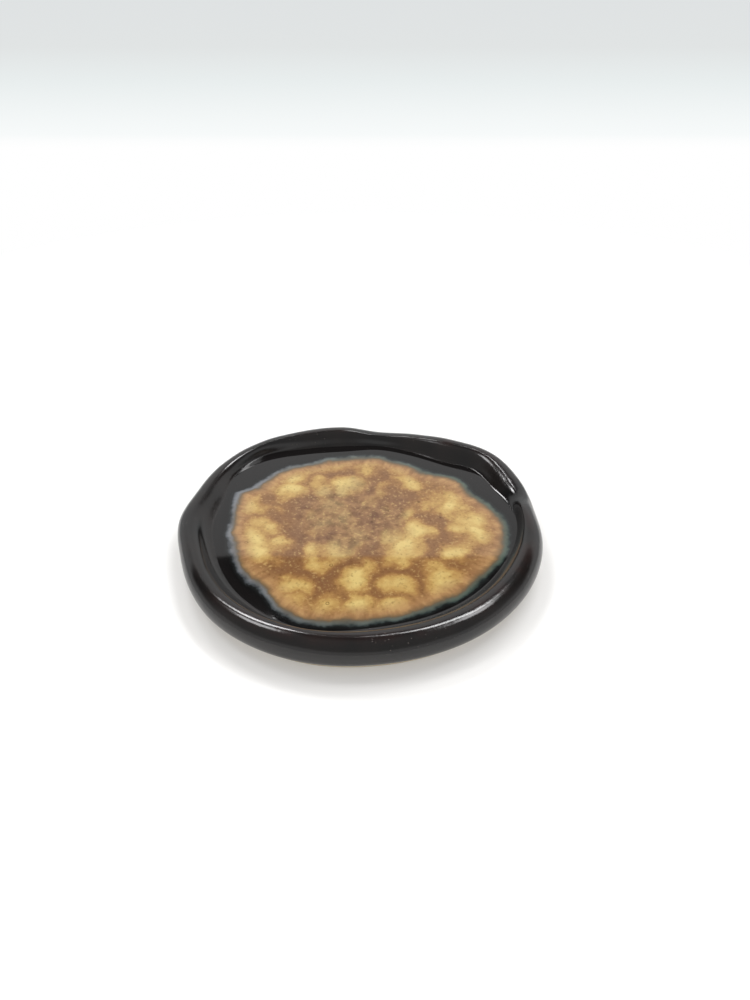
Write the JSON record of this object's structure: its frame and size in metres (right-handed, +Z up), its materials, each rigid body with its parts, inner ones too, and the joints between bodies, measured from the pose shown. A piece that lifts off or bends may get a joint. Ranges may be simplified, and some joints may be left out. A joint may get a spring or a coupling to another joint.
{
  "type": "ring dish",
  "caption": "Small oval ring dish with a fat pinched rim, glossy dark glaze and a flat amber glaze pool in the well, on a bare clay foot.",
  "frame": {"origin": "middle of the dish's outline, on the surface it stands on", "axes": "+Z up out of the well, +X along the dish's width, +Y to the back, away from the picture's camera"},
  "size_m": [0.086, 0.0816, 0.0092],
  "materials": {
    "bare_stoneware": "bare fired stoneware, matte",
    "stoneware_body": "fired stoneware under glaze",
    "clay_slip": "fired slip",
    "black_glaze": "glossy black glaze",
    "blue_green_glaze": "glossy blue-green fringe",
    "amber_glaze": "glossy amber reactive glaze"
  },
  "bodies": {
    "root": {"clay_slab": "bare_stoneware", "rim_coil": "stoneware_body", "slip_joint": "clay_slip", "seam_fillet": "stoneware_body", "rim_glaze": "black_glaze", "floor_glaze": "black_glaze", "halo_glaze": "blue_green_glaze", "amber_glaze": "amber_glaze"}
  },
  "joints": []
}
